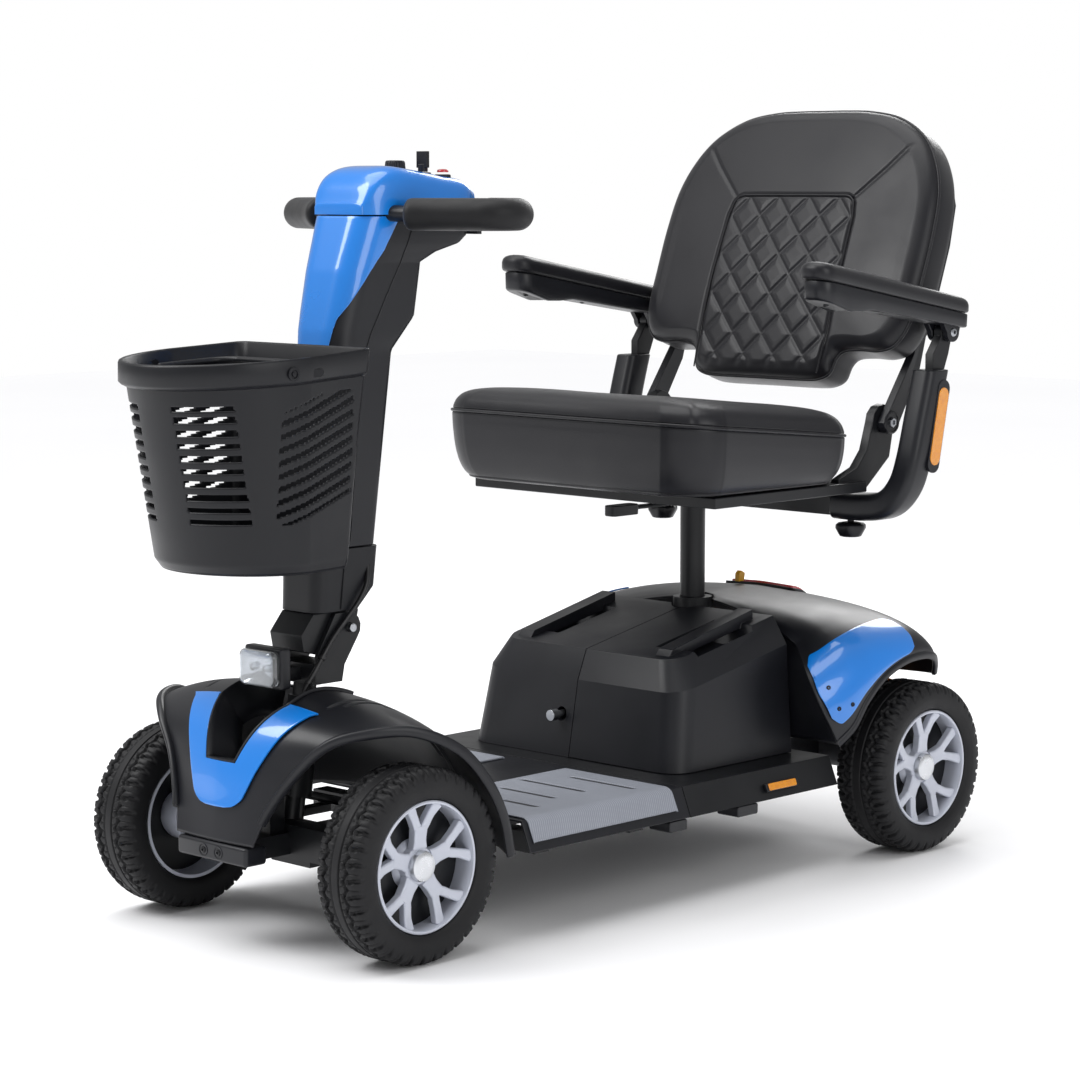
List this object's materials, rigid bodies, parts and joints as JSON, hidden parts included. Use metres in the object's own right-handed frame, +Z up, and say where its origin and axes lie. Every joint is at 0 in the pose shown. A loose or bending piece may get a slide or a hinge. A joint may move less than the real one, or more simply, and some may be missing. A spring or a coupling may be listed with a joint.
{
  "type": "mobility scooter",
  "caption": "Four-wheel electric mobility scooter with swivel seat, flip-up armrests, tilting tiller, delta loop grips, front basket and lift-out battery packs.",
  "frame": {"origin": "on the ground under the middle of the bounding box", "axes": "+Z up, -Y the way the scooter drives forward, +X the rider's left"},
  "size_m": [0.585, 1.2706, 0.9963],
  "materials": {
    "black_plastic": "satin moulded plastic",
    "blue_gloss": "gloss blue paint on plastic",
    "grey_mat": "ribbed grey floor mat",
    "black_steel": "black powder coat",
    "bright_steel": "plated steel",
    "silver_paint": "silver painted alloy",
    "tyre_rubber": "black rubber",
    "black_vinyl": "black vinyl upholstery",
    "black_foam": "black foam grip",
    "red_lens": "red lens",
    "clear_lens": "clear lens",
    "yellow_plastic": "yellow lever",
    "cast_aluminium": "cast aluminium"
  },
  "bodies": {
    "chassis": {"front_frame": "black_steel", "deck": "black_plastic", "floor_mat_left": "grey_mat", "floor_mat_right": "grey_mat", "front_cowl": "black_plastic", "v_panel": "blue_gloss", "bumper": "black_plastic", "rear_frame": "black_steel", "rear_cover": "black_plastic", "fender_insert_left": "blue_gloss", "fender_insert_right": "blue_gloss", "tail_light": "red_lens", "transaxle": "cast_aluminium"},
    "battery_left": {"battery_pack_left": "black_plastic"},
    "battery_right": {"battery_pack_right": "black_plastic"},
    "lock_pin": {"lock_pin": "bright_steel"},
    "freewheel_lever": {"freewheel_lever": "yellow_plastic"},
    "seat_post": {"seat_post": "black_steel"},
    "seat": {"seat_frame": "black_steel", "seat_cushion": "black_vinyl"},
    "swivel_lever": {"swivel_lever": "black_steel"},
    "back": {"back_cushion": "black_vinyl", "back_frame": "black_plastic"},
    "steering": {"steering_stem": "black_steel", "headlight_housing": "black_plastic", "headlight_lens": "clear_lens", "pivot_bolt": "bright_steel"},
    "tiller": {"tiller_yoke": "black_steel", "tiller_sleeve": "black_plastic", "tiller_rear_cover": "black_plastic", "tiller_front_cover": "blue_gloss", "console_hood": "blue_gloss", "grip_left": "black_foam", "grip_right": "black_foam"},
    "throttle": {"throttle_lever": "black_plastic"},
    "speed_dial": {"speed_dial": "black_plastic"},
    "ignition_key": {"ignition_key": "bright_steel"},
    "horn_button": {"horn_button": "red_lens"},
    "basket": {"basket": "black_plastic"},
    "basket_bail": {"basket_bail": "black_plastic"},
    "track_rod": {"track_rod": "black_steel"},
    "knuckle_left": {"knuckle_left": "black_steel"},
    "wheel_front_left": {"tyre_front_left": "tyre_rubber", "rim_front_left": "silver_paint"},
    "wheel_rear_left": {"tyre_rear_left": "tyre_rubber", "rim_rear_left": "silver_paint"},
    "knuckle_right": {"knuckle_right": "black_steel"},
    "wheel_front_right": {"tyre_front_right": "tyre_rubber", "rim_front_right": "silver_paint"},
    "wheel_rear_right": {"tyre_rear_right": "tyre_rubber", "rim_rear_right": "silver_paint"},
    "arm_left": {"arm_support_left": "black_plastic"},
    "armrest_left": {"armrest_left": "black_plastic", "arm_pad_left": "black_vinyl"},
    "arm_knob_left": {"arm_knob_left": "black_plastic"},
    "arm_right": {"arm_support_right": "black_plastic"},
    "armrest_right": {"armrest_right": "black_plastic", "arm_pad_right": "black_vinyl"},
    "arm_knob_right": {"arm_knob_right": "black_plastic"}
  },
  "joints": [
    {"name": "steer", "type": "hinge", "parent": "chassis", "child": "steering", "pos_m": [0, -0.40683, 0.2], "axis": [0, 0.1392, 0.9903], "range_deg": [-25, 25]},
    {"name": "knuckle_left_turn", "type": "hinge", "parent": "chassis", "child": "knuckle_left", "pos_m": [0.1555, -0.41878, 0.115], "axis": [0, 0, 1], "range_deg": [-26, 26]},
    {"name": "front_left_spin", "type": "hinge", "parent": "knuckle_left", "child": "wheel_front_left", "pos_m": [0.2055, -0.41878, 0.115], "axis": [1, 0, 0], "continuous": true},
    {"name": "rear_left_spin", "type": "hinge", "parent": "chassis", "child": "wheel_rear_left", "pos_m": [0.2525, 0.46772, 0.1145], "axis": [1, 0, 0], "continuous": true},
    {"name": "knuckle_right_turn", "type": "hinge", "parent": "chassis", "child": "knuckle_right", "pos_m": [-0.1555, -0.41878, 0.115], "axis": [0, 0, 1], "range_deg": [-26, 26]},
    {"name": "front_right_spin", "type": "hinge", "parent": "knuckle_right", "child": "wheel_front_right", "pos_m": [-0.2055, -0.41878, 0.115], "axis": [1, 0, 0], "continuous": true},
    {"name": "rear_right_spin", "type": "hinge", "parent": "chassis", "child": "wheel_rear_right", "pos_m": [-0.2525, 0.46772, 0.1145], "axis": [1, 0, 0], "continuous": true},
    {"name": "track_rod_shift", "type": "slide", "parent": "chassis", "child": "track_rod", "axis": [1, 0, 0], "range_m": [-0.0235, 0.0235]},
    {"name": "tiller_tilt", "type": "hinge", "parent": "steering", "child": "tiller", "pos_m": [0, -0.35328, 0.366], "axis": [-1, 0, 0], "range_deg": [0, 30]},
    {"name": "throttle_turn", "type": "hinge", "parent": "tiller", "child": "throttle", "pos_m": [0, -0.17378, 0.8385], "axis": [0, 0, 1], "range_deg": [-8, 8], "stiffness_Nm_per_rad": 0.2},
    {"name": "speed_dial_turn", "type": "hinge", "parent": "tiller", "child": "speed_dial", "pos_m": [-0.01, -0.23078, 0.92], "axis": [0, 0, 1], "range_deg": [-135, 135]},
    {"name": "key_turn", "type": "hinge", "parent": "tiller", "child": "ignition_key", "pos_m": [0.02, -0.21278, 0.92], "axis": [0, 0, 1], "range_deg": [-90, 0]},
    {"name": "horn_press", "type": "slide", "parent": "tiller", "child": "horn_button", "axis": [0, 0, -1], "range_m": [0, 0.002], "stiffness_N_per_m": 400},
    {"name": "basket_lift", "type": "slide", "parent": "tiller", "child": "basket", "axis": [0, 0.108, 0.9942], "range_m": [0, 0.06]},
    {"name": "bail_swing", "type": "hinge", "parent": "basket", "child": "basket_bail", "pos_m": [0, -0.51878, 0.67941], "axis": [1, 0, 0], "range_deg": [0, 95]},
    {"name": "battery_left_lift", "type": "slide", "parent": "chassis", "child": "battery_left", "axis": [0, 0, 1], "range_m": [0, 0.08]},
    {"name": "battery_right_lift", "type": "slide", "parent": "chassis", "child": "battery_right", "axis": [0, 0, 1], "range_m": [0, 0.08]},
    {"name": "lock_pin_pull", "type": "slide", "parent": "battery_right", "child": "lock_pin", "axis": [0, -1, 0], "range_m": [0, 0.006], "stiffness_N_per_m": 800},
    {"name": "freewheel_turn", "type": "hinge", "parent": "chassis", "child": "freewheel_lever", "pos_m": [-0.02, 0.43372, 0.3425], "axis": [1, 0, 0], "range_deg": [0, 35]},
    {"name": "seat_height", "type": "slide", "parent": "chassis", "child": "seat_post", "axis": [0, 0, 1], "range_m": [0, 0.08]},
    {"name": "seat_swivel", "type": "hinge", "parent": "seat_post", "child": "seat", "pos_m": [0, 0.31122, 0.4754], "axis": [0, 0, 1], "continuous": true},
    {"name": "swivel_lever_pull", "type": "hinge", "parent": "seat", "child": "swivel_lever", "pos_m": [0.046, 0.30772, 0.4734], "axis": [0, 0, 1], "range_deg": [0, 12], "stiffness_Nm_per_rad": 1},
    {"name": "back_fold", "type": "hinge", "parent": "seat", "child": "back", "pos_m": [0, 0.46372, 0.576], "axis": [1, 0, 0], "range_deg": [0, 38]},
    {"name": "arm_left_width", "type": "slide", "parent": "seat", "child": "arm_left", "axis": [1, 0, 0], "range_m": [0, 0.04]},
    {"name": "armrest_left_flip", "type": "hinge", "parent": "arm_left", "child": "armrest_left", "pos_m": [0.265, 0.51372, 0.697], "axis": [-1, 0, 0], "range_deg": [0, 95]},
    {"name": "arm_knob_left_turn", "type": "hinge", "parent": "arm_left", "child": "arm_knob_left", "pos_m": [0.17, 0.44072, 0.4325], "axis": [0, 0, 1], "continuous": true},
    {"name": "arm_right_width", "type": "slide", "parent": "seat", "child": "arm_right", "axis": [-1, 0, 0], "range_m": [0, 0.04]},
    {"name": "armrest_right_flip", "type": "hinge", "parent": "arm_right", "child": "armrest_right", "pos_m": [-0.265, 0.51372, 0.697], "axis": [-1, 0, 0], "range_deg": [0, 95]},
    {"name": "arm_knob_right_turn", "type": "hinge", "parent": "arm_right", "child": "arm_knob_right", "pos_m": [-0.17, 0.44072, 0.4325], "axis": [0, 0, 1], "continuous": true}
  ],
  "couplings": [
    {"joint": "knuckle_left_turn", "follows": "steer", "ratio": 1},
    {"joint": "knuckle_right_turn", "follows": "steer", "ratio": 1},
    {"joint": "track_rod_shift", "follows": "steer", "m_per_rad": -0.05}
  ]
}
